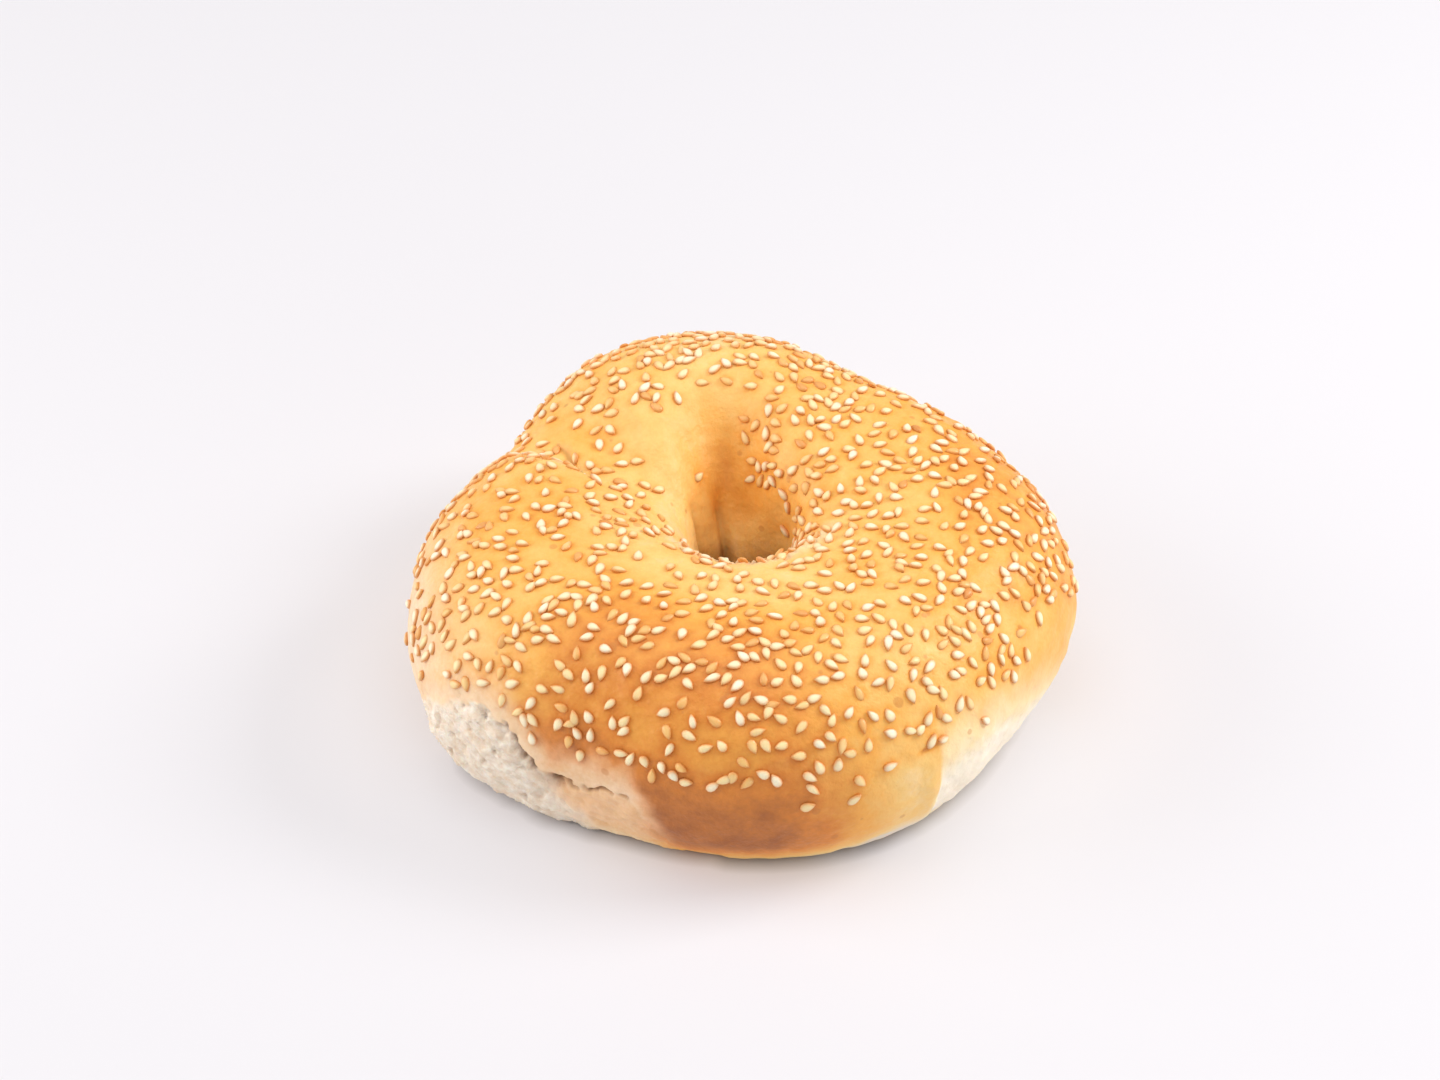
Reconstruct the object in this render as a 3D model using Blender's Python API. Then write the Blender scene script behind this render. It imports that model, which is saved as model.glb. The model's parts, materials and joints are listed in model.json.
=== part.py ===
"""The body of a hand-rolled bagel: one uneven ring of baked dough, flat underneath.

A torus is laid down, and its vertices are moved ring by ring onto the dough's own outline.
Bearings run round the hole in degrees: 0 is +X, and 90 is +Y, the back. Lengths are in
millimetres until the vertices are written, in metres.
"""

import math

import bpy
import numpy as np

MM = 0.001

# The rolled rope of dough isn't even, so its outline is given at twelve bearings: how far it
# reaches from the hole's axis, how far out its crest lies, the crest's height, how square the
# hole's lip is (2 is an ellipse, more is squarer), and the hole's narrowest place, first its
# distance from the axis and then its height.
RING = {
    0: (57.5, 33.0, 40.0, 3.4, 8.4, 25.0),
    30: (52.5, 31.5, 41.0, 4.0, 9.2, 26.0),
    60: (47.5, 30.5, 42.0, 3.2, 10.0, 24.0),
    90: (54.5, 33.0, 44.0, 1.9, 10.0, 13.0),
    120: (59.0, 35.0, 42.5, 1.9, 9.8, 11.0),
    150: (53.0, 33.5, 38.0, 2.0, 9.6, 14.0),
    180: (59.0, 34.0, 39.5, 2.3, 8.8, 20.0),
    210: (61.5, 35.5, 40.5, 2.8, 10.6, 22.0),
    240: (55.5, 34.0, 40.5, 3.3, 12.2, 24.0),
    270: (57.5, 34.0, 40.0, 3.5, 11.8, 25.0),
    300: (57.5, 34.0, 40.0, 3.4, 10.2, 25.0),
    330: (55.5, 33.0, 40.0, 3.2, 9.0, 24.0),
}
BELLY_HEIGHT = 18.0  # where the outside is widest
SIDE_ROUNDNESS = 2.1
BASE_CUT = 0.8  # the tray flattens the round underside at this share of its depth

# Folds and creases in the top, each along a line of stations: the station's bearing, its distance
# from the axis, half the fold's width there, and how far it rises, less than nothing for a crease.
FOLDS = {
    "seam of the two ends": (
        (150.0, 52.0, 2.4, 0.0),
        (153.0, 44.0, 2.4, -2.0),
        (158.0, 34.0, 2.2, -2.8),
        (162.0, 26.0, 2.2, -2.0),
        (166.0, 19.0, 2.2, 0.0),
    ),
    "hollow behind the seam": (
        (141.0, 52.0, 7.0, 0.0),
        (144.0, 42.0, 8.0, -1.8),
        (148.0, 30.0, 6.5, -1.8),
        (152.0, 20.0, 5.0, 0.0),
    ),
    "edge of the end on top": (
        (160.0, 48.0, 4.5, 0.0),
        (165.0, 36.0, 4.5, 1.2),
        (172.0, 27.0, 4.0, 0.8),
        (178.0, 20.0, 4.0, 0.0),
    ),
    "pale fold beside the hole": (
        (122.0, 36.0, 4.5, 0.0),
        (129.0, 28.0, 4.5, 1.4),
        (139.0, 19.0, 4.0, 2.2),
        (158.0, 12.5, 4.0, 1.4),
        (176.0, 11.0, 4.0, 0.0),
    ),
    "trough down into the hole": (
        (114.0, 38.0, 6.0, 0.0),
        (108.0, 27.0, 6.0, -1.4),
        (104.0, 18.0, 5.0, -2.2),
        (102.0, 10.0, 4.0, -1.4),
    ),
    "dish left of the hole": (
        (176.0, 31.0, 5.0, 0.0),
        (183.0, 23.0, 5.5, -1.5),
        (196.0, 19.0, 5.0, 0.0),
    ),
}

FOLDS_FADE = 8.0  # no fold reaches below the belly, and none is whole until this far above it

# Two flats, where the dough had grown onto its neighbours in the oven and was pulled off them:
# the bearing that each faces, its distance from the axis, and how far its foot leans in.
TEARS = ((220.0, 61.0, 1.0), (326.0, 55.4, 5.5))
TEAR_TOP = 19.0
TEAR_SOFTNESS = 6.0  # the height over which the flat blends into the round side above it

# How finely the torus is divided: round the ring, over the dough, and across its flat base.
RING_STEPS = 108
OVER_STEPS = 38
BASE_STEPS = 6

CRUST_COLOUR = (0.80, 0.43, 0.14, 1.0)
CRUST_ROUGHNESS = 0.55


def smooth(t):
    """0 below 0, 1 above 1, and an even slope between."""
    t = np.clip(t, 0.0, 1.0)
    return t * t * (3.0 - 2.0 * t)


def ring_values(bearing):
    """A row of RING at any bearing, on smooth closed curves through the rows given."""
    rows = np.array([RING[b] for b in sorted(RING)])
    place = (bearing % 360.0) * len(rows) / 360.0
    row = int(place)
    t = place - row
    before, here, after, later = (rows[(row + step) % len(rows)] for step in (-1, 0, 1, 2))
    bend = 2 * before - 5 * here + 4 * after - later + t * (3 * (here - after) + later - before)
    return here + 0.5 * t * (after - before + t * bend)


def torn(radius, height, bearing, facing, distance, lean):
    """The radius after one side is flattened to the plane that a neighbour was torn from."""
    turn = math.radians((bearing - facing + 180.0) % 360.0 - 180.0)
    if math.cos(turn) < 0.5:
        return radius
    down = np.clip(1.0 - height / TEAR_TOP, 0.0, 1.0)
    plane = (distance - lean * down**2) / math.cos(turn)
    held = smooth(0.5 + (TEAR_TOP - height) / TEAR_SOFTNESS)
    return radius - held * np.maximum(radius - plane, 0.0)


def outline(bearing, steps=1440):
    """Radius and height round the dough at one bearing: up the outside, over, and down the hole."""
    reach, crest, top, lip, neck, neck_height = ring_values(bearing)
    angle = np.linspace(-0.5 * math.pi, 1.5 * math.pi, steps)
    across, up = np.cos(angle), np.sin(angle)
    outside, above = across >= 0, up >= 0
    half_width = np.where(outside, reach - crest, crest - neck)
    widest = np.where(outside, BELLY_HEIGHT, neck_height)
    power = 2 / np.where(above & ~outside, lip, SIDE_ROUNDNESS)
    radius = crest + half_width * np.sign(across) * np.abs(across) ** power
    rise = np.where(above, top - widest, -widest / BASE_CUT)
    height = widest + rise * np.abs(up) ** power
    for tear in TEARS:
        radius = torn(radius, height, bearing, *tear)
    clear = height > 0
    return radius[clear], height[clear]


def loop_of_points(bearing, over_steps, base_steps):
    """One closed loop of the surface, evenly spaced over the dough and then across its base."""
    radius, height = outline(bearing)
    along = np.concatenate([[0.0], np.cumsum(np.hypot(np.diff(radius), np.diff(height)))])
    wanted = np.linspace(0.0, along[-1], over_steps + 1)
    over = np.stack([np.interp(wanted, along, radius), np.interp(wanted, along, height)], axis=1)
    over[0, 1] = over[-1, 1] = 0.0
    share = np.linspace(0.0, 1.0, base_steps + 1)[1:-1, None]
    loop = np.concatenate([over, over[-1] + share * (over[0] - over[-1])])
    turn = math.radians(bearing)
    return np.stack([loop[:, 0] * math.cos(turn), loop[:, 0] * math.sin(turn), loop[:, 1]], axis=1)


def normals(points):
    """Unit normals of a closed grid of points, pointing out of the dough."""
    round_ring = np.roll(points, -1, axis=0) - np.roll(points, 1, axis=0)
    round_dough = np.roll(points, -1, axis=1) - np.roll(points, 1, axis=1)
    out = np.cross(round_ring, round_dough)
    return out / np.linalg.norm(out, axis=2, keepdims=True)


def in_plan(bearing, distance):
    return np.array([distance * math.cos(math.radians(bearing)), distance * math.sin(math.radians(bearing))])


def fold_height(points, stations):
    """How far one fold lifts each point, strongest on its line and falling off to both sides."""
    nearest = np.full(points.shape[:2], np.inf)
    lift = np.zeros(points.shape[:2])
    for (*start, width, rise), (*end, next_width, next_rise) in zip(stations, stations[1:]):
        here, run = in_plan(*start), in_plan(*end) - in_plan(*start)
        share = np.clip((points[..., :2] - here) @ run / (run @ run), 0.0, 1.0)
        gap = np.linalg.norm(points[..., :2] - here - share[..., None] * run, axis=2)
        spread = gap / (width + share * (next_width - width))
        closer = gap < nearest
        nearest = np.where(closer, gap, nearest)
        lift = np.where(closer, (rise + share * (next_rise - rise)) * np.exp(-(spread**2)), lift)
    return lift


def press_folds(points):
    """The grid of points after every fold has been raised and every crease pressed in."""
    top = smooth((points[..., 2] - BELLY_HEIGHT) / FOLDS_FADE)
    rise = sum(fold_height(points, stations) for stations in FOLDS.values())
    return points + (top * rise)[..., None] * normals(points)


def dough_surface(ring_steps, over_steps, base_steps):
    """The whole surface as a closed grid of points, its box centred on the origin in plan."""
    bearings = np.arange(ring_steps) * 360.0 / ring_steps
    points = press_folds(np.array([loop_of_points(b, over_steps, base_steps) for b in bearings]))
    middle = (points.min(axis=(0, 1)) + points.max(axis=(0, 1))) / 2
    return points - (middle[0], middle[1], 0.0)


def clear_scene():
    for old in list(bpy.data.objects):
        bpy.data.objects.remove(old)


def crust_material():
    material = bpy.data.materials.new("baked_crust")
    material.use_nodes = True
    shader = material.node_tree.nodes["Principled BSDF"]
    shader.inputs["Base Color"].default_value = CRUST_COLOUR
    shader.inputs["Roughness"].default_value = CRUST_ROUGHNESS
    return material


def make_bagel():
    """A torus primitive holds its vertices ring by ring, in the order of dough_surface."""
    bpy.ops.mesh.primitive_torus_add(major_segments=RING_STEPS, minor_segments=OVER_STEPS + BASE_STEPS)
    bagel = bpy.context.object
    bagel.name = bagel.data.name = "bagel"
    points = dough_surface(RING_STEPS, OVER_STEPS, BASE_STEPS)
    bagel.data.vertices.foreach_set("co", (points * MM).ravel())
    bagel.data.update()
    bagel.data.shade_smooth()
    bagel.data.materials.append(crust_material())
    return bagel


def main():
    clear_scene()
    collection = bpy.data.collections.new("bagel")
    bpy.context.scene.collection.children.link(collection)
    bagel = make_bagel()
    for old in list(bagel.users_collection):
        old.objects.unlink(bagel)
    collection.objects.link(bagel)


main()
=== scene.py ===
# %% [markdown]
# # A hand-rolled sesame bagel
#
# A bagel starts as a rope of dough. Its two ends are pressed together, and the ring is boiled,
# rolled in sesame seeds and baked beside its neighbours. All of that still shows: the seam, a
# smooth funnel running into the hole, and two pale sides where the ring was pulled off the next
# one. This lesson gives the plain solid of that bagel its crust, its torn crumb and its seeds.

import itertools
import json
import math

import bmesh
import bpy
import numpy as np
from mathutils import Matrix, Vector
from mathutils.bvhtree import BVHTree
from mathutils.kdtree import KDTree


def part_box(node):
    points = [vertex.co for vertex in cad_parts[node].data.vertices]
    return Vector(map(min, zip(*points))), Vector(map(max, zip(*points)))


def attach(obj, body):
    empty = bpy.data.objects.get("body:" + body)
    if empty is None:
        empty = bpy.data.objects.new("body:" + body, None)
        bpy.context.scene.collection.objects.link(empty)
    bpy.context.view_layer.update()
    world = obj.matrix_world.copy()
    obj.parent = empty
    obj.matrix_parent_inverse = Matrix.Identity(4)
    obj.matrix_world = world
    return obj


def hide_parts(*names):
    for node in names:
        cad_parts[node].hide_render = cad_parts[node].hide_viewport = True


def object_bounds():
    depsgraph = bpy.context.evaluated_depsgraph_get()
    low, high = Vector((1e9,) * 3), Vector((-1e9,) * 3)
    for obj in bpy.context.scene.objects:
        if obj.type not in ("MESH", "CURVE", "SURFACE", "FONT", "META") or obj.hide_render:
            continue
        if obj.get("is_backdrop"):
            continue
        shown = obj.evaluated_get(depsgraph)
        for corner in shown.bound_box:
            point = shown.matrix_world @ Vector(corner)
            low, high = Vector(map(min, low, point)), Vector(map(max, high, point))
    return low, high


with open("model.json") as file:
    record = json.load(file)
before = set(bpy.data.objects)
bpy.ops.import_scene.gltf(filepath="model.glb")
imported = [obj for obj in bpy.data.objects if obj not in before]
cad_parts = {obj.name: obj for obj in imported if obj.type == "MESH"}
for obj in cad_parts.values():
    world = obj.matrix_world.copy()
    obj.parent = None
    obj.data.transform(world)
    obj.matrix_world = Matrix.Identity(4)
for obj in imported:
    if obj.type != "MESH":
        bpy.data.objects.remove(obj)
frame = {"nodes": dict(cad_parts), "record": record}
cad_low, cad_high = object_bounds()

MM = 0.001
LOW, HIGH = (np.array(corner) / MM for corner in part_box("bagel"))
hole_box = np.array(frame["record"]["physics"]["openings"][0]["box_m"]) / MM
HOLE = hole_box.mean(axis=0)[:2]
print("solid, mm:", LOW.round(1), HIGH.round(1), "hole's axis:", HOLE.round(1))

# %% [markdown]
# ## Small tools for placing things on a ring
#
# Every detail of this bagel is easiest to place with three numbers: its bearing round the hole
# in degrees (0 is +X, 90 is the back), its distance from the hole's axis, and its height. The
# tools below work on whole arrays of points at once, so that a mesh of a hundred thousand points
# takes no longer than a second. Sizes are in millimetres until a mesh is written. Most masks are
# products of two shapes: a ramp, which goes from 0 to 1, and a bell, which is 1 in its middle.


# %% Ramps and bells
def ease(t):
    """0 below 0, 1 above 1, and a soft slope between."""
    t = np.clip(t, 0.0, 1.0)
    return t * t * (3.0 - 2.0 * t)


def ramp(value, start, end):
    """0 up to start, 1 from end on, and a soft slope between; start may be the larger one."""
    return ease((value - start) / (end - start))


def bell(value, middle, width):
    """1 at the middle, falling to 0 on both sides."""
    return np.exp(-(((value - middle) / width) ** 2))


print("a ramp from 2 to 4, at 1, 3 and 5:", ramp(np.array([1.0, 3.0, 5.0]), 2.0, 4.0))


# %% Places on the ring
def turn_between(bearing, middle):
    """Degrees from middle to bearing, from -180 to 180."""
    return (bearing - middle + 180.0) % 360.0 - 180.0


def bearing_and_distance(points):
    x, y = points[..., 0] - HOLE[0], points[..., 1] - HOLE[1]
    return np.degrees(np.arctan2(y, x)) % 360.0, np.hypot(x, y)


def in_plan(bearing, distance):
    turn = math.radians(bearing)
    return HOLE + distance * np.array([math.cos(turn), math.sin(turn)])


def patch(points, bearing, distance, radius, stretch=1.0):
    """1 at a spot in the top, falling softly to 0; stretch makes it longer round the ring."""
    here, far = bearing_and_distance(points)
    across = np.radians(turn_between(here, bearing)) * far / stretch
    return np.exp(-(np.hypot(across, far - distance) / radius) ** 2)


def stroke(points, stations, width):
    """1 on a line through (bearing, distance) stations, falling to 0 at both sides and at its ends."""
    nearest = np.full(points.shape[0], np.inf)
    along = np.zeros(points.shape[0])
    for count, (start, end) in enumerate(zip(stations, stations[1:])):
        here, run = in_plan(*start), in_plan(*end) - in_plan(*start)
        share = np.clip((points[:, :2] - here) @ run / (run @ run), 0.0, 1.0)
        gap = np.linalg.norm(points[:, :2] - here - share[:, None] * run, axis=1)
        along = np.where(gap < nearest, (count + share) / (len(stations) - 1), along)
        nearest = np.minimum(nearest, gap)
    fade = np.sin(math.pi * np.clip(along, 0.02, 0.98)) ** 0.5
    return bell(nearest, 0.0, width) * fade


print("20 mm behind the hole:", in_plan(90, 20).round(1))


# %% Smooth random lumps
class Lumps:
    """Smooth random lumps from -1 to 1: a lattice of random numbers, blended between its points."""

    MIDDLE = 500.0  # the cell at the origin

    def __init__(self, seed, cells=48):
        self.cells = cells
        self.lattice = np.random.default_rng(seed).uniform(-1.0, 1.0, (cells,) * 3)

    def at(self, points, size):
        place = points / size + self.MIDDLE
        cell = np.floor(place).astype(int)
        part = ease(place - cell)
        total = np.zeros(len(points))
        for corner in itertools.product((0, 1), repeat=3):
            weight = np.prod(np.where(corner, part, 1.0 - part), axis=1)
            total += weight * self.lattice[tuple(((cell + corner) % self.cells).T)]
        return total

    def layers(self, points, *layers):
        """A sum of lumps of several sizes; each layer is how strong its lumps are, and their size."""
        return sum(strength * self.at(points, size) for strength, size in layers)


lumps = Lumps(seed=7)
print("a few lumps:", lumps.at(np.array([[0.0, 0, 0], [1, 2, 3], [8, 8, 8]]), 2.0).round(2))

# %% [markdown]
# ## Wrapping a fine torus round the solid
#
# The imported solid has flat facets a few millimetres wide, which is right for physics and too
# coarse for a close look. Subdividing it would round it off, but would also keep its uneven
# triangles. Instead a copy is subdivided as a guide, and a fresh, even torus is wrapped onto
# it: from a circle in the middle of the dough, a ray goes out at every bearing and angle, and
# each point lands where its ray leaves the bread.


# %% Make the guide from a copy of the solid
def smooth_guide(node):
    """A ray-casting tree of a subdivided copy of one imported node; the copy is removed again."""
    copy = frame["nodes"][node].copy()
    copy.data = copy.data.copy()
    bpy.context.scene.collection.objects.link(copy)
    shape = bmesh.new()
    shape.from_mesh(copy.data)
    bmesh.ops.remove_doubles(shape, verts=shape.verts, dist=1e-6)
    shape.to_mesh(copy.data)
    shape.free()
    rounder = copy.modifiers.new("round", "SUBSURF")
    rounder.levels = rounder.render_levels = 2
    tree = BVHTree.FromObject(copy, bpy.context.evaluated_depsgraph_get())
    bpy.data.objects.remove(copy)
    return tree


guide = smooth_guide("bagel")
CORE_DISTANCE = 0.285 * (HIGH[0] - LOW[0])
CORE_HEIGHT = 0.46 * HIGH[2]
print("rays start %.1f mm from the axis, at height %.1f mm" % (CORE_DISTANCE, CORE_HEIGHT))

# %% Wrap the torus
RING_STEPS, GIRTH_STEPS = 384, 190


def wrapped_points():
    points = np.empty((RING_STEPS, GIRTH_STEPS, 3))
    for i in range(RING_STEPS):
        turn = 2 * math.pi * i / RING_STEPS
        out = Vector((math.cos(turn), math.sin(turn), 0.0))
        start = Vector((*HOLE, CORE_HEIGHT)) + out * CORE_DISTANCE
        for j in range(GIRTH_STEPS):
            up = 2 * math.pi * j / GIRTH_STEPS - 0.5 * math.pi
            ray = out * math.cos(up) + Vector((0.0, 0.0, math.sin(up)))
            points[i, j] = guide.ray_cast(start * MM, ray)[0]
    return points / MM


skin = wrapped_points()
print("wrapped", RING_STEPS * GIRTH_STEPS, "points, box", np.ptp(skin, axis=(0, 1)).round(1))

# %% [markdown]
# ## A mesh with more detail where the dough was torn
#
# The crust is smooth, so cells of about a millimetre are enough for it. The torn crumb has
# strands and holes half that size. The faces in those two areas are cut into nine, which is
# cheaper than a finer mesh all over.

# %% The edges of the two torn sides
# The bearing and the height of the crust's broken edge, from one end of each side to the other.
LEFT_EDGE = (
    (199, 2), (203, 15), (208, 20), (214, 24), (220, 24.5), (224, 23.8), (227, 21.5),
    (230, 18), (233.5, 15.2), (237, 16.3), (243, 16.3), (248, 16.8), (253, 11), (258, 2),
)
RIGHT_EDGE = (
    (303.5, 2), (304.5, 19), (309, 21), (318, 20), (327, 16.5), (336, 13.5), (344, 9), (350, 2),
)
PAST_ENDS = 2.0  # an edge still counts this many degrees past its ends
JAGS = ((1.0, 4.0), (1.0, 1.8), (0.5, 0.9))  # how far each kind of jag reaches, and its length
FAR_ABOVE = -20.0


def below_edge(points, edge, jag=1.0):
    """How far each point is below a broken edge, in mm, or FAR_ABOVE where the edge isn't near."""
    bearing, distance = bearing_and_distance(points)
    bearings, heights = np.array(edge, float).T
    ragged = lumps.layers(points, *JAGS)
    depth = np.interp(bearing, bearings, heights) + jag * ragged - points[:, 2]
    beside = (bearing > bearings[0] - PAST_ENDS) & (bearing < bearings[-1] + PAST_ENDS)
    return np.where(beside & (distance > CORE_DISTANCE + 5.0), depth, FAR_ABOVE)


def near_a_tear(points):
    below = np.maximum(below_edge(points, LEFT_EDGE), below_edge(points, RIGHT_EDGE))
    return (below > -2.5) & (points[:, 2] > 0.3)


for side, edge in (("left", LEFT_EDGE), ("right", RIGHT_EDGE)):
    print("the %s tear spans %d degrees" % (side, edge[-1][0] - edge[0][0]))


# %% Build the mesh
def torus_mesh(points):
    """Closes a grid of points into a torus, with a map that runs round the ring and the dough."""
    rings, steps = points.shape[:2]
    i, j = np.meshgrid(np.arange(rings), np.arange(steps), indexing="ij")
    this_ring, next_ring, next_j = i * steps, (i + 1) % rings * steps, (j + 1) % steps
    corners = np.stack([this_ring + j, next_ring + j, next_ring + next_j, this_ring + next_j], axis=-1)
    mesh = bpy.data.meshes.new("crust")
    mesh.from_pydata((points.reshape(-1, 3) * MM).tolist(), [], corners.reshape(-1, 4).tolist())
    around = np.stack([i, i + 1, i + 1, i], axis=-1) / rings
    over = np.stack([j, j, j + 1, j + 1], axis=-1) / steps
    layer = mesh.uv_layers.new(name="OFBake")
    layer.data.foreach_set("uv", np.stack([around, over], axis=-1).astype(np.float32).ravel())
    return mesh


def refine(mesh, wanted):
    """Cuts each face whose middle is wanted into nine."""
    shape = bmesh.new()
    shape.from_mesh(mesh)
    middles = np.array([face.calc_center_median() for face in shape.faces]) / MM
    chosen = wanted(middles)
    edges = {edge for face, keep in zip(shape.faces, chosen) if keep for edge in face.edges}
    bmesh.ops.subdivide_edges(shape, edges=list(edges), cuts=2, use_grid_fill=True)
    shape.to_mesh(mesh)
    shape.free()
    return int(chosen.sum())


crust_mesh = torus_mesh(skin)
cut = refine(crust_mesh, near_a_tear)
crust_mesh.calc_loop_triangles()
print("cut", cut, "faces finer;", len(crust_mesh.loop_triangles), "triangles")


# %% Read the points and their normals
def read_vectors(items, name):
    """One vector from each item of a mesh, as an array."""
    values = np.empty(len(items) * 3, np.float32)
    items.foreach_get(name, values)
    return values.reshape(-1, 3).astype(float)


place = read_vectors(crust_mesh.vertices, "co") / MM
facing = read_vectors(crust_mesh.vertex_normals, "vector")
bearing, distance = bearing_and_distance(place)
height = place[:, 2]
on_outside = distance > CORE_DISTANCE
outer = ramp(distance, CORE_DISTANCE + 3.0, CORE_DISTANCE + 6.0)
print("%d points, %d of them on the outside" % (len(place), on_outside.sum()))

# %% [markdown]
# ## Where the crust is torn away
#
# Each area of the torn sides is a mask, from 0 to 1, that both the relief and the colours use.
# At the left the open crumb shows, and right of it lies a stretch of pale, wrinkled skin under
# the same broken edge. The tear at the right was smoother, because its dough parted while soft.

# %% The masks of the torn sides
FOOT = 1.5  # the pale skin ends this far above the tray
left_depth = below_edge(place, LEFT_EDGE)
right_depth = below_edge(place, RIGHT_EDGE)
above_foot = ramp(height, FOOT, FOOT + 1.5)


def open_crumb():
    """Its upper edge is sharp, but soft at the far left; at the right it gives way to the skin."""
    edge_width = 0.8 + 3.0 * ramp(bearing, 219.0, 213.0)
    skin_line = bearing + 0.4 * height - 2.5 * lumps.at(place, 3.0)
    return ease(left_depth / edge_width) * ramp(skin_line, 244.0, 235.0) * ramp(height, -0.5, 1.0)


rough = open_crumb()
pale_skin = ramp(left_depth, 0.0, 1.0) * above_foot * (1.0 - rough)
smooth_tear = ramp(right_depth, -2.0, 5.0) * above_foot * ramp(bearing, 303.5, 305.0)
torn = np.maximum(rough, 0.75 * smooth_tear)
print("torn: %d points rough, %d smooth" % ((rough > 0.5).sum(), (smooth_tear > 0.5).sum()))

# %% [markdown]
# ## The relief of the crust
#
# Baked dough is never quite even. Broad, low swells come from the hands that rolled it. The seam
# is a sharp crease with a few strands pulled across it, the hole has two pleats, and each torn
# side is recessed under a broken edge of crust, with strands, pits and a crack or two. Each of
# these is a height in millimetres, and their sum is pushed out along the surface's normal.

# %% The seam and the pleats
SEAM = ((149.5, 40.0), (152.0, 36.5), (160.0, 32.0), (163.5, 29.0), (167.0, 25.5))
PLEAT = ((109.0, 15.5), (110.0, 12.5), (110.5, 10.2), (111.0, 8.2))
SECOND_PLEAT = ((131.0, 15.0), (136.0, 12.5), (140.0, 10.0), (144.0, 8.0))
SEAM_STRANDS = (38.0, 35.5, 33.0, 30.0)  # how far out each strand crosses the seam


def seam_strand(count, start):
    """One strand of dough, pulled across the seam at a slant."""
    stations = (
        (156.5 + count, start + 1.5),
        (158.5 + 1.2 * count, start - 1.0),
        (161.5 + 1.8 * count, start - 4.0),
    )
    return stroke(place, stations, 0.65)


top_side = ramp(height, 20.0, 26.0)
in_hole = (distance < 22.0) * ramp(height, 4.0, 8.0)
pleats = in_hole * (stroke(place, PLEAT, 1.0) + 0.6 * stroke(place, SECOND_PLEAT, 0.8))
creases = -1.3 * top_side * stroke(place, SEAM, 0.8) - 1.6 * pleats
for count, start in enumerate(SEAM_STRANDS):
    creases += 0.5 * top_side * seam_strand(count, start)
print("the deepest crease is %.1f mm" % -creases.min())

# %% The flap beside the right tear
flap_edge = bell(bearing, 302.3, 1.3) * ramp(height, 24.0, 21.0) * ramp(height, 4.0, 10.0)
flap_crease = bell(height, 24.4, 0.5) * ramp(bearing, 299.0, 301.0) * ramp(bearing, 305.5, 303.5)
creases += outer * (0.35 * flap_edge - 0.4 * flap_crease)
print("the flap's edge runs through", int((outer * flap_edge > 0.5).sum()), "points")


# %% The strands and pits of the crumb
def strands_of_dough():
    """Ridges that run round the side and slope: lumps, folded at 0, read from stretched points."""
    stretched = np.stack([0.16 * bearing, 0.8 * (height + 0.45 * bearing), 0.4 * distance], axis=1)
    coarse = 0.35 - np.abs(lumps.at(stretched, 1.5))
    thin = 0.3 - np.abs(lumps.at(1.7 * stretched + 9.0, 1.0))
    return 1.2 * coarse + 0.7 * thin


def pits_in_crumb():
    """Small pits and larger ones, where the lumps are highest."""
    small = ramp(lumps.at(place + 40.0, 1.8), 0.50, 0.65)
    large = ramp(lumps.at(place + 60.0, 3.2), 0.55, 0.70)
    return -0.6 * small - 0.5 * large


strands, pits = strands_of_dough(), pits_in_crumb()
print("strands up to %.1f mm high, pits %.1f mm deep" % (strands.max(), -pits.min()))

# %% The crack and the cavity under the broken edge
CAVITY_BEARING, CAVITY_HEIGHT = 234.3, 14.6
cavity = bell(bearing, CAVITY_BEARING, 1.9) * bell(height, CAVITY_HEIGHT, 1.3) * on_outside
broken_up = ease(0.7 + 2.5 * lumps.at(place + 90.0, 2.2))
crack_here = bell(left_depth, 0.7, 0.5) * broken_up
crack_here *= ramp(bearing, 224.5, 227.5) * ramp(bearing, 250.0, 247.0)
print("the crack runs through", int((crack_here > 0.5).sum()), "points")

# %% Add up the crumb
fine = lumps.layers(place, (0.20, 1.3), (0.14, 0.65))
bulge = ramp(left_depth, 0.0, 9.0) * ramp(bearing, 200.0, 208.0) * ramp(bearing, 250.0, 234.0) * outer
crumb = rough * (-0.1 * ramp(left_depth, 6.0, 0.0) + strands + fine + pits) + 1.1 * bulge
crumb += pale_skin * (0.6 * strands + 0.2 * lumps.at(place, 1.3))
crumb += -1.0 * crack_here - 1.8 * cavity
crumb += smooth_tear * (-0.5 + lumps.layers(place, (0.30, 4.0), (0.12, 1.5)))
print("crumb from %.1f to %.1f mm" % (crumb.min(), crumb.max()))

# %% Push the points out by the whole relief
LIP_DISTANCE = 15.0
swells = lumps.layers(place, (0.35, 15.0), (0.14, 6.0), (0.22, 2.4))
on_lip = bell(distance, LIP_DISTANCE, 1.5) * (height > 30.0)
frill = on_lip * ramp(bearing, 200.0, 214.0) * ramp(bearing, 345.0, 331.0)
lift = swells * (1.0 - 0.6 * torn) + creases + crumb + frill * (0.4 + 1.0 * lumps.at(place, 0.9))
lift *= ramp(height, 0.0, 1.0)
place = place + facing * lift[:, None]
place[:, 2] = np.maximum(place[:, 2], 0.0)
place = np.clip(place, LOW, HIGH)
crust_mesh.vertices.foreach_set("co", (place * MM).astype(np.float32).ravel())
crust_mesh.update()
print("relief from %.2f to %.2f mm" % (lift.min(), lift.max()))
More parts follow.
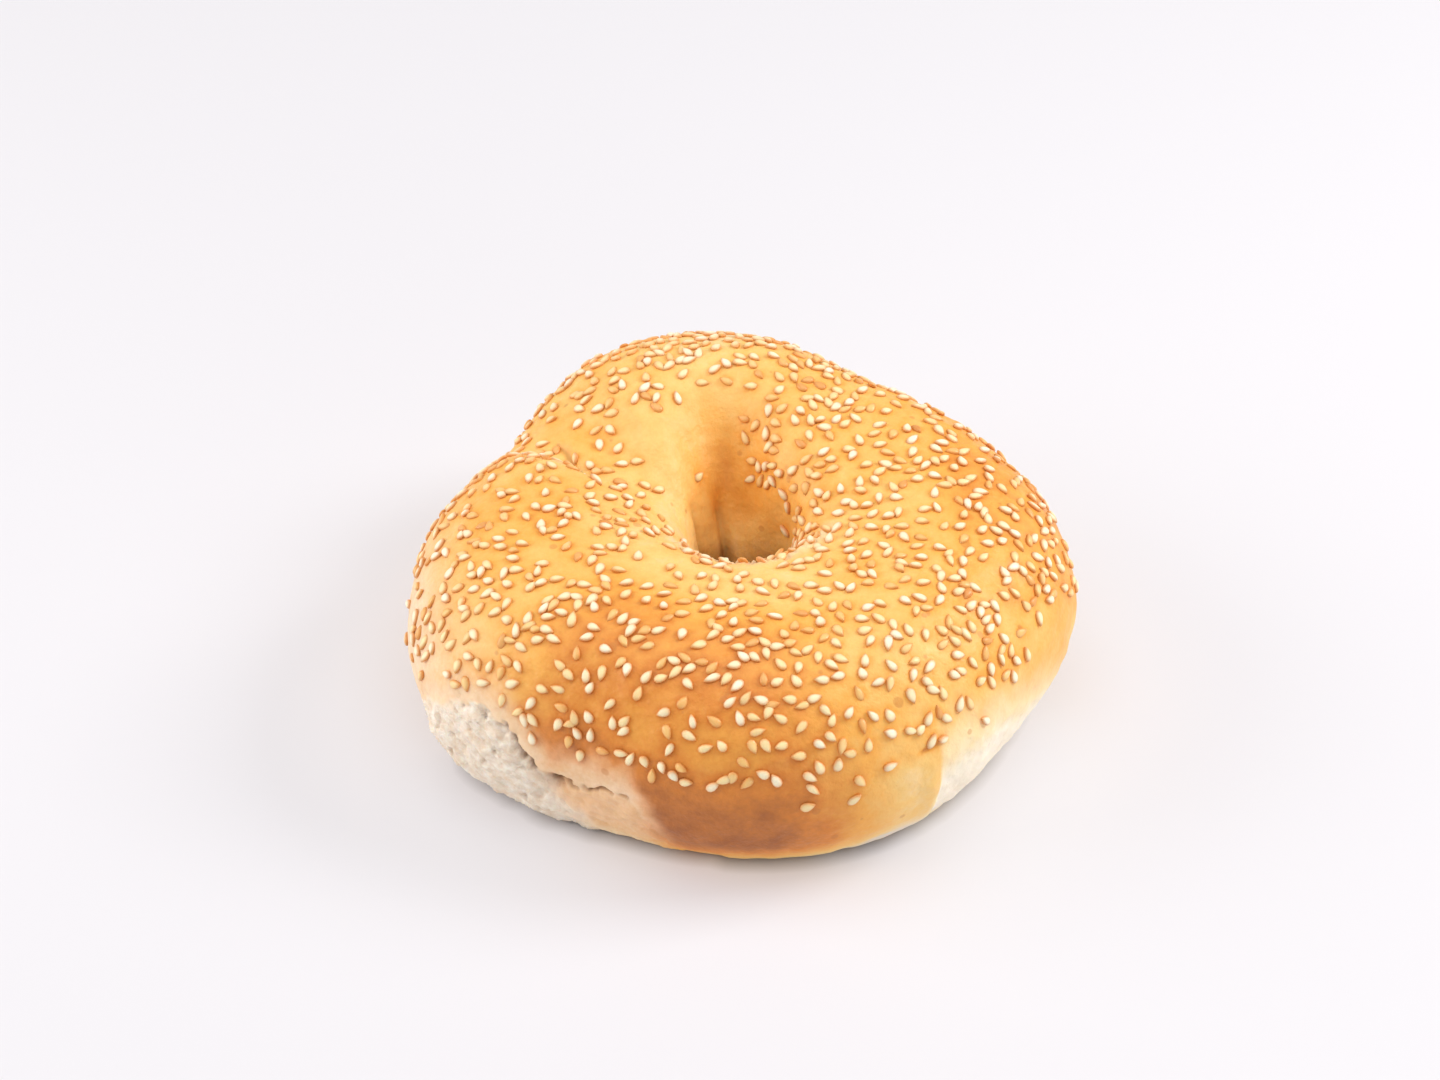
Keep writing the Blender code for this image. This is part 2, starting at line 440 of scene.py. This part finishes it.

# %% [markdown]
# ## How brown the crust is
#
# Browning runs with heat and moisture. The crown faced the oven and is deep golden. Dough inside
# the fold and round the hole stayed moist, and is pale yellow. Where two bagels touched, there is
# hardly any crust at all. All this goes into one number for each point, from 0 for raw-looking
# dough to 1 for brown, which the material turns into colour. Painted shade on the lower front
# and in the flap's crease, and painted bounce light at the foot, go into the same number.

# %% Browning from patches and strokes
# Each patch: how much browner it is, its bearing, distance and radius, and how long it is.
BROWNER_PATCHES = {
    "in front of the hole": (-0.10, 262, 21, 8.5, 2.2),
    "left of the hole": (-0.10, 200, 22, 9.0, 1.5),
    "trough": (0.12, 103, 19, 7.0, 1.0),
    "top of the trough": (-0.04, 108, 31, 6.0, 1.0),
    "crown of the left lobe": (0.06, 188, 38, 12.0, 1.0),
    "back hump": (-0.20, 96, 46, 9.0, 1.5),
    "back crown": (-0.06, 100, 44, 20.0, 2.0),
}
# Each stroke: how much browner it is, half its width, and its stations.
BROWNER_STROKES = {
    "fold into the hole": (
        -0.04, 4.6, ((122, 31), (129, 24), (138, 18), (154, 14.5), (180, 13), (210, 14)),
    ),
    "moist wall of the fold": (-0.12, 3.5, ((142, 15), (165, 12.5), (190, 12.5), (214, 14))),
    "hollow behind the seam": (0.08, 4.5, ((142, 46), (145, 38), (146, 28))),
}
MOIST_SEAM = ((152, 46), (159, 36), (165, 26))

bake = 0.53 + lumps.layers(place, (0.05, 9.0), (0.04, 3.5))
bake += sum(amount * patch(place, *spot) for amount, *spot in BROWNER_PATCHES.values())
bake += sum(amount * stroke(place, line, width) for amount, width, line in BROWNER_STROKES.values())
bake -= 0.20 * top_side * stroke(place, MOIST_SEAM, 3.2)
print("browning after patches and strokes: %.2f to %.2f" % (bake.min(), bake.max()))

# %% Browning by side, hole and foot, with painted shade and painted bounce light
left_pale = ramp(left_depth, -8.5, 0.0) * ramp(bearing, 258.0, 248.0)
front_left = ramp(bearing, 216.0, 236.0) * ramp(bearing, 302.0, 268.0) * (1.0 - 0.6 * left_pale)
# Painted shade in part: the lower front-left side is painted browner, partly deeper browning and
# partly shade where light falls less; it fades out towards the lit right.
bake += 0.26 * front_left * ramp(height, 31.0, 15.0) * on_outside
bake += 0.21 * front_left * ramp(distance, 26.0, 38.0)
right_crown = bell(turn_between(bearing, 6.0), 0.0, 28.0) * ramp(distance, 30.0, 40.0)
bake += 0.17 * right_crown * ramp(height, 16.0, 24.0)
bake -= 0.10 * ramp(height, 30.0, 20.0) * ramp(distance, 19.0, 15.0)
# Painted light in part: the foot is painted paler, partly a pale band of less-baked dough and partly
# painted bounce light from the floor.
foot_pale_and_bounce = 0.45 + 0.20 * ramp(bearing, 256.0, 268.0) * ramp(bearing, 350.0, 325.0)
bake -= foot_pale_and_bounce * ramp(height, 10.0, 0.0) * on_outside
beside_flap = bell(bearing, 298.0, 6.0) * ramp(height, 25.0, 21.0)
# Painted shade: the crease above the flap is painted browner. Beside the flap the crust is paler.
bake += (0.3 * flap_crease - 0.16 * beside_flap) * outer
bake = np.clip(bake, 0.0, 1.0)

EVEN_UNDERSIDE = 0.66
underside = ramp(height, 1.0, 0.0)
bake += underside * (EVEN_UNDERSIDE - bake)
print("browning: mean %.2f, palest %.2f, brownest %.2f" % (bake.mean(), bake.min(), bake.max()))

# %% Where there is hardly any crust
left_side = 0.95 * ramp(height, 38.0, 24.0) * bell(turn_between(bearing, 196.0), 0.0, 19.0)
right_pale = ramp(right_depth, -10.0, 1.0) * ramp(bearing, 301.0, 304.0) * ramp(bearing, 352.0, 346.0)
pale = np.maximum(0.85 * left_pale * (1.0 - 0.25 * pale_skin), left_side)
pale = np.clip(outer * np.maximum(pale, 0.9 * right_pale), 0.0, 1.0)
pale = np.maximum(pale * (1.0 - underside), 0.75 * frill)
dusty = (bearing < 275.0) * 1.0  # the left side's skin is floury, the right side's is clean
print("pale:", int((pale > 0.5).sum()), "points")

# %% Where light hardly reaches
# Painted shade: the recess left of the pleat, the pleats, the seam's crease, the cavity and the
# crumb's pits are painted dark because light hardly reaches them. Along the crust's broken edge the
# dark line is partly a real crack and partly painted shade.
left_of_pleat = ramp(bearing, 110.0, 114.0) * ramp(bearing, 152.0, 142.0) * (distance < 18.0)
recess = ramp(height, 22.0, 16.0) * left_of_pleat
crack = 0.95 * crack_here + 0.8 * cavity + 0.4 * rough * ease(-0.8 * pits)
crack += 0.8 * pleats * ramp(height, 24.0, 16.0) + 0.95 * recess
crack = np.clip(crack + 0.5 * ease(-creases - 0.4) * top_side, 0.0, 1.0)
print("dark:", int((crack > 0.5).sum()), "points")


# %% Store the painted values on the mesh
def store(mesh, name, values):
    layer = mesh.attributes.new(name, "FLOAT", "POINT")
    layer.data.foreach_set("value", values.astype(np.float32))


painted = {"bake": bake, "pale": pale, "dusty": dusty, "torn": torn, "rough": rough, "crack": crack}
for name, values in painted.items():
    store(crust_mesh, name, values)
crust = bpy.data.objects.new("crust", crust_mesh)
bpy.context.scene.collection.objects.link(crust)
crust_mesh.shade_smooth()
print("stored", ", ".join(painted))

# %% [markdown]
# ## Writing materials as sums
#
# A node tree is a formula, so it reads best as one. `Wire` wraps an output socket, and each
# operator adds the Math node that it stands for. `Recipe` opens a material and adds any other
# node from its type, its settings and the values or links of its sockets.


# %% The two small classes for materials
class Wire:
    """An output socket that can be added, subtracted and multiplied."""

    def __init__(self, recipe, socket):
        self.recipe, self.socket = recipe, socket

    def maths(self, operation, first, second, clamp=False):
        settings = {"operation": operation, "use_clamp": clamp}
        return self.recipe.add("Math", settings, {0: first, 1: second})

    def __add__(self, other):
        return self.maths("ADD", self, other)

    def __sub__(self, other):
        return self.maths("SUBTRACT", self, other)

    def __mul__(self, other):
        return self.maths("MULTIPLY", self, other)

    def __rsub__(self, other):
        return self.maths("SUBTRACT", other, self)

    __radd__ = __add__
    __rmul__ = __mul__

    def clamped(self):
        return self.maths("ADD", self, 0.0, clamp=True)


class Recipe:
    """One material, whose nodes are added by add()."""

    def __init__(self, name):
        self.material = bpy.data.materials.new(name)
        self.material.use_nodes = True
        self.nodes = self.material.node_tree.nodes
        self.links = self.material.node_tree.links
        self.nodes.clear()

    def fill(self, node, sockets):
        for key, value in sockets.items():
            if isinstance(value, Wire):
                self.links.new(value.socket, node.inputs[key])
            else:
                node.inputs[key].default_value = value

    def add(self, kind, settings, sockets, output=0):
        node = self.nodes.new("ShaderNode" + kind)
        for key, value in settings.items():
            if key == "stops":
                self.set_stops(node.color_ramp, value)
            else:
                setattr(node, key, value)
        self.fill(node, sockets)
        return Wire(self, node.outputs[output])

    @staticmethod
    def set_stops(band, stops):
        while len(band.elements) < len(stops):
            band.elements.new(0.5)
        for element, (position, shade) in zip(band.elements, stops):
            element.position, element.color = position, shade

    def attribute(self, name):
        return self.add("Attribute", {"attribute_name": name}, {}, output="Fac")

    def noise(self, where, size, detail=2.0, roughness=0.5):
        """Noise from 0 to 1 whose lumps are about size metres across."""
        sockets = {"Vector": where, "Scale": 1.0 / size, "Detail": detail, "Roughness": roughness}
        return self.add("TexNoise", {}, sockets)

    def soft_step(self, value, start, end, most):
        """0 up to start, most from end on, and a soft slope between."""
        sockets = {0: value, 1: start, 2: end, 3: 0.0, 4: most}
        return self.add("MapRange", {"interpolation_type": "SMOOTHSTEP"}, sockets)

    def blend(self, share, first, second):
        """A mix of two colours, by share of the second."""
        mix = self.nodes.new("ShaderNodeMix")
        mix.data_type = "RGBA"
        self.fill(mix, {0: share, 6: first, 7: second})
        return Wire(self, mix.outputs[2])

    def finish(self, sockets):
        shader = self.add("BsdfPrincipled", {}, sockets)
        output = self.nodes.new("ShaderNodeOutputMaterial")
        self.links.new(shader.socket, output.inputs["Surface"])
        return self.material


def colour(red, green, blue):
    """A colour given from 0 to 255 on a screen, as the linear values that light needs."""
    channels = (np.array([red, green, blue]) / 255.0 + 0.055) / 1.055
    return (*np.power(channels, 2.4), 1.0)


print("golden is", np.round(colour(244, 172, 92), 3))

# %% [markdown]
# ## The crust
#
# The ramp below is the bagel's whole range of browning, from bare dough through butter yellow
# and gold to brown. Two noises mottle the number that is looked up in it, so that the colour
# changes the way that browning does. Round each seed the crust is painted a little browner,
# partly for browning and partly as painted contact shade. Small dark blisters are a third,
# sparse noise. The torn crumb is mixed in by its own mask, with painted shade in its hollows,
# and deep places are painted darker, because hardly any light gets in there.

# %% The crust's colours
BROWNING = (
    (0.00, colour(238, 224, 205)),
    (0.18, colour(249, 220, 172)),
    (0.38, colour(252, 205, 124)),
    (0.58, colour(247, 177, 82)),
    (0.78, colour(224, 137, 54)),
    (1.00, colour(166, 96, 46)),
)
CLEAN_SKIN = colour(254, 232, 186)
DUSTY_SKIN = (colour(252, 229, 202), colour(238, 198, 152))
# The second crumb colour is warmer and darker: partly the crumb's own tone, partly painted shade in
# its hollows.
CRUMB = (colour(255, 245, 230), colour(228, 194, 158))
BLISTER_BROWN = colour(196, 120, 58)
# Painted shade: the dark brown for cracks and deep places, partly a real crack's colour and mostly
# shade.
CRACK_AND_SHADE_BROWN = colour(142, 94, 50)
print(len(BROWNING), "stops of browning")


# %% The crust's material
def skin_and_crust(recipe, bake, mottle, grain):
    """The colour of the baked crust, mixed with that of the pale skin where it hardly baked."""
    pale, dusty, near_seed = (recipe.attribute(name) for name in ("pale", "dusty", "near_seed"))
    # Round each seed the crust is painted browner: partly browning, partly painted contact shade.
    browning = (bake + 0.23 * mottle + 0.12 * grain + 0.12 * near_seed - 0.04).clamped()
    baked = recipe.add("ValToRGB", {"stops": BROWNING}, {"Fac": browning})
    dust = (0.5 + 1.8 * mottle + 0.8 * grain).clamped()
    skin = recipe.blend(dusty, CLEAN_SKIN, recipe.blend(dust, *DUSTY_SKIN))
    return recipe.blend((pale + 0.5 * pale * mottle).clamped(), baked, skin), pale


def with_blisters(recipe, where, base):
    """A colour with sparse brown specks, each in the middle of a Voronoi cell."""
    sockets = {"Vector": where, "Scale": 260.0, "Randomness": 1.0}
    cells = recipe.add("TexVoronoi", {"feature": "F1"}, sockets)
    size = recipe.noise(where, 0.006) - 0.56
    speck = recipe.soft_step(size * 0.9 - cells, -0.15, -0.06, most=0.4)
    return recipe.blend(speck, base, BLISTER_BROWN)


def crust_material():
    recipe = Recipe("baked_crust")
    where = recipe.add("TexCoord", {}, {}, output="Object")
    bake, torn, rough, crack = (recipe.attribute(name) for name in ("bake", "torn", "rough", "crack"))
    mottle = recipe.noise(where, 0.004, detail=4.0, roughness=0.6) - 0.5
    grain = recipe.noise(where, 0.0009, detail=3.0, roughness=0.6) - 0.5
    crust_colour, pale = skin_and_crust(recipe, bake, mottle, grain)
    speckled = with_blisters(recipe, where, crust_colour)
    crumb_noise = recipe.noise(where, 0.0018, detail=5.0, roughness=0.7)
    # Painted shade in part: the crumb is darker and warmer where its bumps are low.
    crevice_shade = (rough * (1.35 - 2.0 * crumb_noise)).clamped()
    with_crumb = recipe.blend(torn, speckled, recipe.blend(crevice_shade, *CRUMB))
    # Painted shade: cracks and deep places are blended towards the dark brown.
    shaded = recipe.blend(0.85 * crack, with_crumb, CRACK_AND_SHADE_BROWN)
    wrinkles = recipe.noise(where, 0.0022, detail=3.0)
    bump_height = 0.8 * wrinkles + 0.35 * grain + rough * crumb_noise * 1.1
    bump = recipe.add("Bump", {}, {"Strength": 0.6, "Distance": 0.0006, "Height": bump_height})
    roughness = 0.46 + 0.18 * mottle + 0.4 * torn + 0.15 * pale
    return recipe.finish({"Base Color": shaded, "Roughness": roughness, "Normal": bump, "IOR": 1.42,
                          "Subsurface Weight": 0.12, "Subsurface Scale": 0.003,
                          "Subsurface Radius": (1.0, 0.45, 0.18)})


crust_mesh.materials.append(crust_material())
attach(crust, "root")
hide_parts("bagel")
print("crust:", len(crust_mesh.vertices), "points")

# %% [markdown]
# ## Sesame seeds
#
# A hulled sesame seed is a flat teardrop about 3 mm long. A particle system would scatter them
# quickly, but wouldn't say where each one lies, and an exported model loses it. So each seed is
# real geometry, and all of them are joined in one mesh. Seeds stick where the wet dough was
# rolled in them: all over the crown, but not down the funnel, in the seam, or low on the sides.

# %% Where the seeds stuck
# Each crowd: how many more seeds it has for each square mm, its bearing, distance and radius,
# and how long it is.
SEED_CROWDS = {
    "back crown": (0.045, 95, 38, 16.0, 1.3),
    "back hump": (0.24, 98, 45, 9.0, 1.5),
    "right of the hole": (0.03, 15, 15, 6.0, 1.5),
    "right lobe": (0.02, 330, 40, 12.0, 1.0),
}
# Each bare line: how bare it is, half its width, and its stations.
BARE_LINES = {
    "trough": (1.3, 6.5, ((112, 30), (106, 22), (103, 12))),
    "fold into the hole": (1.3, 4.4, ((124, 33), (134, 22), (150, 14), (178, 12), (206, 13))),
    "hollow behind the seam": (1.2, 4.0, ((143, 50), (147, 40), (150, 33), (150, 26))),
}
USUAL_CROWDING = 0.104


def reach_of_seeds(bearing, height, outside):
    """The share of seeds that stuck at each height: few low on the outside, or down the hole."""
    lowest = 21.0 + 3.5 * ramp(turn_between(bearing, 285.0), 0.0, 20.0) * (bearing < 350.0)
    on_side = ramp(height, lowest, lowest + 5.0) + 0.1 * ramp(height, lowest - 3.0, lowest)
    lip = np.where((bearing > 190.0) | (bearing < 40.0), 27.5, 29.5)
    return on_side * np.where(outside, 1.0, ramp(height, lip, lip + 2.5))


def seed_density(points):
    """Seeds wanted for each square millimetre."""
    bearing, distance = bearing_and_distance(points)
    height, outside = points[:, 2], distance > CORE_DISTANCE
    crowding = USUAL_CROWDING + 0.055 * lumps.at(points + 20.0, 7.0)
    crowding += sum(more * patch(points, *spot) for more, *spot in SEED_CROWDS.values())
    crowding *= reach_of_seeds(bearing, height, outside)
    right_wall = ~outside & ((bearing > 330.0) | (bearing < 70.0)) & (height > 17.0)
    front_lip = ~outside & (bearing > 228.0) & (bearing < 355.0)
    crowding += 0.018 * right_wall + 0.09 * front_lip * bell(height, 35.5, 1.6)
    bare = sum(share * stroke(points, line, width) for share, width, line in BARE_LINES.values())
    bare += 0.5 * patch(points, 262, 20, 4.0, 1.6)
    for edge in (LEFT_EDGE, RIGHT_EDGE):
        crowding *= ramp(below_edge(points, edge, jag=0.0), 0.0, -1.5)
    return np.maximum(crowding * np.clip(1.0 - bare, 0.0, 1.0), 0.0)


def scatter(mesh, density_of, closest, seed):
    """Random spots on a mesh as wanted by density_of, with their normals, none too close."""
    mesh.calc_loop_triangles()
    corners = np.empty(len(mesh.loop_triangles) * 3, int)
    mesh.loop_triangles.foreach_get("vertices", corners)
    triangles = place[corners.reshape(-1, 3)]
    across = np.cross(triangles[:, 1] - triangles[:, 0], triangles[:, 2] - triangles[:, 0])
    area = np.linalg.norm(across, axis=1) / 2.0
    normal = across / np.maximum(2.0 * area, 1e-9)[:, None]
    expected = area * density_of(triangles.mean(axis=1))
    dice = np.random.default_rng(seed)
    tries = dice.choice(len(area), size=int(expected.sum() * 1.9), p=expected / expected.sum())
    kept, kept_normals = np.empty((0, 3)), []
    for triangle in tries:
        u, v = sorted(dice.uniform(size=2))
        a, b, c = triangles[triangle]
        spot = u * a + (v - u) * b + (1.0 - v) * c
        gap = dice.uniform(*closest)
        if len(kept) and np.min(np.sum((kept - spot) ** 2, axis=1)) < gap * gap:
            continue
        kept = np.vstack([kept, spot])
        kept_normals.append(normal[triangle])
        if len(kept) >= expected.sum():
            break
    return kept, np.array(kept_normals)


spots, spot_normals = scatter(crust_mesh, seed_density, closest=(1.2, 2.7), seed=11)
print(len(spots), "seeds")


# %% Mark the crust round each seed, where it is painted browner and shaded
def near_spots(points, spots, reach):
    """1 at a spot, falling to 0 at reach millimetres from it."""
    tree = KDTree(len(spots))
    for count, spot in enumerate(spots):
        tree.insert(spot, count)
    tree.balance()
    gap = np.array([tree.find(point)[2] for point in points])
    return ramp(gap, reach, 0.0)


near_seed = near_spots(place, spots, reach=2.3)
store(crust_mesh, "near_seed", near_seed)
print("near a seed:", int((near_seed > 0.5).sum()), "points")

# %% [markdown]
# ### One seed, many times
#
# Seen from above, a seed's outline is a teardrop. The seed below is a stack of such outlines,
# small at the top and bottom and full size between. Every copy gets a size, a heading and a
# slight tilt of its own, and sinks a little into the crust. Three numbers go with each point:
# how toasted its seed is, how far along the seed it lies, and how near it is to the rim and the
# underside. There the seed is painted browner: partly the crust's colour that the thin rim took
# on, partly painted shade under the seed where it meets the crust.

# %% The shape of one seed
SEED_SIZE = (2.65, 1.60, 1.02)
SEED_SIDES = 12
# Each outline of the stack: its size, its height from -1 to 1, and how rim-like it is, that is how
# much of the painted rim brown and shade it takes.
SEED_STACK = (
    (0.55, -0.80, 1.00),
    (0.93, -0.35, 1.00),
    (1.00, 0.05, 1.00),
    (0.90, 0.48, 0.75),
    (0.62, 0.84, 0.18),
    (0.28, 0.98, 0.00),
)


def teardrop():
    """Points of the outline, 1 long and 1 wide, with the tip towards +X."""
    turn = 2 * math.pi * (np.arange(SEED_SIDES) + 0.5) / SEED_SIDES
    along = 0.5 * np.cos(turn) / math.cos(math.pi / SEED_SIDES)
    across = np.sin(turn) * np.sin(turn / 2) ** 0.7
    return np.stack([along, 0.5 * across / across.max()], axis=1)


def one_seed():
    """Points of a seed that is 1 long, 1 wide and 1 thick, its faces, and its rim-likeness."""
    outline = teardrop()
    loops = []
    for size, level, _ in SEED_STACK:
        loops.append(np.column_stack([outline * size, np.full(SEED_SIDES, 0.5 * level)]))
    points = np.vstack([[(0.0, 0.0, -0.5)], *loops, [(0.0, 0.0, 0.5)]])
    rim = np.concatenate([[1.0], np.repeat([entry[2] for entry in SEED_STACK], SEED_SIDES), [0.0]])
    faces = []
    last = len(points) - 1
    for s in range(SEED_SIDES):
        t = (s + 1) % SEED_SIDES
        faces.append((0, 1 + t, 1 + s))
        faces.append((last, last - SEED_SIDES + s, last - SEED_SIDES + t))
        for loop in range(len(SEED_STACK) - 1):
            a, b = 1 + loop * SEED_SIDES, 1 + (loop + 1) * SEED_SIDES
            faces.append((a + s, a + t, b + t, b + s))
    return points, faces, rim


seed_shape, seed_faces, seed_rim_and_shade = one_seed()
print("one seed:", len(seed_shape), "points,", len(seed_faces), "faces")

# %% Lay the seeds on the crust
SIZE_SPREAD = 0.065
TILT = 0.10
PROUD, SUNK = 0.22, 0.32  # how far a pale seed's middle stands proud, and how much lower a dark one's


def lay_seeds(spots, normals, shape, seed):
    """The points of every seed, and how toasted each seed is."""
    dice = np.random.default_rng(seed)
    count = len(spots)
    size = np.stack([dice.normal(middle, SIZE_SPREAD * middle, count) for middle in SEED_SIZE], axis=1)
    up = normals + dice.normal(0.0, TILT, (count, 3))
    up /= np.linalg.norm(up, axis=1, keepdims=True)
    ahead = np.cross(up, dice.normal(size=(count, 3)))
    ahead /= np.linalg.norm(ahead, axis=1, keepdims=True)
    side = np.cross(up, ahead)
    toast = np.clip(dice.beta(1.1, 2.2, count), 0.0, 1.0)
    middle = spots + normals * (PROUD - SUNK * toast * dice.uniform(0.5, 1.0, count))[:, None]
    return middle[:, None] + shape[None] * size[:, None] @ np.stack([ahead, side, up], axis=1), toast


seed_points, toast = lay_seeds(spots, spot_normals, seed_shape, seed=5)
print("seeds from height %.1f to %.1f mm" % (seed_points[..., 2].min(), seed_points[..., 2].max()))

# %% Join the seeds in one mesh
SHADES = 12


def seeds_mesh(points, toast):
    """All the seeds as one mesh; its map has a strip for each shade, so that seeds can share it."""
    count, each = points.shape[:2]
    toast = np.round(toast * (SHADES - 1)) / (SHADES - 1)
    along = np.clip(seed_shape[:, 0] + 0.5, 0.0, 1.0)
    mesh = bpy.data.meshes.new("sesame_seeds")
    all_faces = [[corner + n * each for corner in face] for n in range(count) for face in seed_faces]
    mesh.from_pydata((points.reshape(-1, 3) * MM).tolist(), [], all_faces)
    toast, along, rim = np.repeat(toast, each), np.tile(along, count), np.tile(seed_rim_and_shade, count)
    for name, values in {"toast": toast, "along": along, "rim": rim}.items():
        store(mesh, name, values)
    corners = np.empty(len(mesh.loops), int)
    mesh.loops.foreach_get("vertex_index", corners)
    strip = (toast * (SHADES - 1) + 0.1 + 0.8 * rim) / SHADES
    layer = mesh.uv_layers.new(name="OFBake")
    layer.data.foreach_set("uv", np.stack([strip, along], axis=1)[corners].astype(np.float32).ravel())
    mesh.shade_smooth()
    return mesh


joined_seeds = seeds_mesh(seed_points, toast)
joined_seeds.calc_loop_triangles()
print(len(joined_seeds.loop_triangles), "triangles of seeds")

# %% The seeds' material
TOASTING = (
    (0.00, colour(255, 244, 214)),
    (0.35, colour(254, 228, 172)),
    (0.65, colour(246, 196, 122)),
    (1.00, colour(228, 154, 84)),
)
# Painted shade in part: the brown of a seed's rim and lower half, partly the crust's colour on the
# thin rim, partly painted contact shade.
RIM_AND_SHADE_BROWN = colour(222, 144, 66)
TIP_BROWN = colour(222, 156, 86)


def seed_material():
    recipe = Recipe("sesame")
    toast, along, rim = (recipe.attribute(name) for name in ("toast", "along", "rim"))
    body = recipe.add("ValToRGB", {"stops": TOASTING}, {"Fac": toast})
    tip = recipe.soft_step(along, 0.70, 1.0, most=0.6)
    # Painted shade in part: the rim and lower half of each seed are blended towards the rim brown.
    rim_and_shade = recipe.blend((0.9 * rim).clamped(), body, RIM_AND_SHADE_BROWN)
    tipped = recipe.blend(tip, rim_and_shade, TIP_BROWN)
    return recipe.finish({"Base Color": tipped, "Roughness": 0.34, "IOR": 1.46,
                          "Subsurface Weight": 0.15, "Subsurface Scale": 0.001,
                          "Subsurface Radius": (1.0, 0.7, 0.4)})


seeds = bpy.data.objects.new("sesame_seeds", joined_seeds)
bpy.context.scene.collection.objects.link(seeds)
joined_seeds.materials.append(seed_material())
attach(seeds, "root")
print("seeds ride on the bagel's body")

# %% [markdown]
# ## Light, floor and camera
#
# Bread looks fresh in a broad, soft light from the window side and above, which grazes the seeds.
# A reflector and a card on the other sides, and a white surround, fill the shadows. The floor is
# plain, and glows a little, which keeps it pale and lights the crust from below. Under the bagel
# it must not glow, or it would shine up through the hole and rub out the dark line of contact. So
# the floor's mesh carries a number, open, that is 0 under the bagel and 1 everywhere else.

# %% The floor's mesh
FLOOR_STEPS = 120
FLOOR_REACH = 3000.0
FOOT_HEIGHT = 2.0
HALF_SHADE = 2.0  # the glow fades in from this far inside the foot's outline to as far outside it


def foot_outline(points):
    """How far the bagel's foot reaches from the hole's axis, in each of FLOOR_STEPS directions."""
    low = points[points[:, 2] < FOOT_HEIGHT]
    bearing, distance = bearing_and_distance(low)
    reach = np.zeros(FLOOR_STEPS)
    np.maximum.at(reach, (bearing / 360.0 * FLOOR_STEPS).astype(int) % FLOOR_STEPS, distance)
    return reach


def floor_mesh(reach):
    """A wide disc in three rings, flat at height 0."""
    turn = 2 * math.pi * (np.arange(FLOOR_STEPS) + 0.5) / FLOOR_STEPS
    rings = (reach - HALF_SHADE, reach + HALF_SHADE, np.full(FLOOR_STEPS, FLOOR_REACH))
    points = [(*HOLE, 0.0)]
    for ring in rings:
        for r, t in zip(ring, turn):
            points.append((HOLE[0] + r * math.cos(t), HOLE[1] + r * math.sin(t), 0.0))
    faces = [(0, 1 + k, 1 + (k + 1) % FLOOR_STEPS) for k in range(FLOOR_STEPS)]
    for ring in range(len(rings) - 1):
        start = 1 + ring * FLOOR_STEPS
        for k in range(FLOOR_STEPS):
            here, there = start + k, start + (k + 1) % FLOOR_STEPS
            faces.append((here, here + FLOOR_STEPS, there + FLOOR_STEPS, there))
    mesh = bpy.data.meshes.new("floor")
    mesh.from_pydata((np.array(points) * MM).tolist(), [], faces)
    store(mesh, "open", np.repeat([0.0, 1.0], [1 + FLOOR_STEPS, 2 * FLOOR_STEPS]))
    return mesh


foot = foot_outline(place)
floor = bpy.data.objects.new("floor", floor_mesh(foot))
bpy.context.scene.collection.objects.link(floor)
print("the foot reaches %.0f to %.0f mm from the hole's axis" % (foot.min(), foot.max()))


# %% The floor's material
def floor_material():
    recipe = Recipe("pale_floor")
    glow = recipe.blend(recipe.attribute("open"), colour(10, 10, 10), colour(255, 251, 254))
    return recipe.finish({"Base Color": colour(188, 186, 189), "Roughness": 0.8,
                          "Emission Color": glow, "Emission Strength": 0.32})


floor.data.materials.append(floor_material())
floor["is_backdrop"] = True
print("floor staged")

# %% The lights
LIT_POINT = Vector((0.0, 0.0, 0.02))


def soft_light(name, position, size, power):
    """A square light that points at the bagel; power is in watts."""
    lamp = bpy.data.lights.new(name, "AREA")
    lamp.size, lamp.energy = size, power
    light = bpy.data.objects.new(name, lamp)
    bpy.context.scene.collection.objects.link(light)
    light.location = position
    light.rotation_euler = (LIT_POINT - Vector(position)).to_track_quat("-Z", "Y").to_euler()


def white_surround(strength):
    world = bpy.data.worlds.new("surround")
    world.use_nodes = True
    sockets = world.node_tree.nodes["Background"].inputs
    sockets["Color"].default_value = (1.0, 1.0, 1.0, 1.0)
    sockets["Strength"].default_value = strength
    bpy.context.scene.world = world


soft_light("window", (0.58, 0.10, 0.48), 0.30, 3.3)
soft_light("overhead", (0.00, -0.03, 0.95), 0.90, 4.3)
soft_light("reflector", (-0.70, 0.00, 0.32), 0.60, 3.6)
soft_light("card", (0.45, -0.82, 0.14), 0.50, 1.6)
white_surround(0.30)
bpy.context.scene.view_settings.view_transform = "Standard"
print("four soft lights and a white surround")

# %% The camera
CAMERA_ELEVATION = math.radians(40.0)
CAMERA_DISTANCE = 0.70
LOOK_AT = Vector((-0.0040, 0.0029, 0.0278))

lens = bpy.data.cameras.new("camera")
lens.lens, lens.sensor_width = 100.0, 36.0
camera = bpy.data.objects.new("camera", lens)
bpy.context.scene.collection.objects.link(camera)
back = Vector((0.0, -math.cos(CAMERA_ELEVATION), math.sin(CAMERA_ELEVATION)))
camera.location = LOOK_AT + back * CAMERA_DISTANCE
camera.rotation_euler = back.to_track_quat("Z", "Y").to_euler()
bpy.context.scene.camera = camera
print("camera at", [round(v, 3) for v in camera.location])

# %% Compare the sizes and finish
low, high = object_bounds()
for what, lowest, highest in (("solid", cad_low, cad_high), ("bagel", low, high)):
    print(what, [round(v / MM, 1) for v in highest - lowest], "mm")
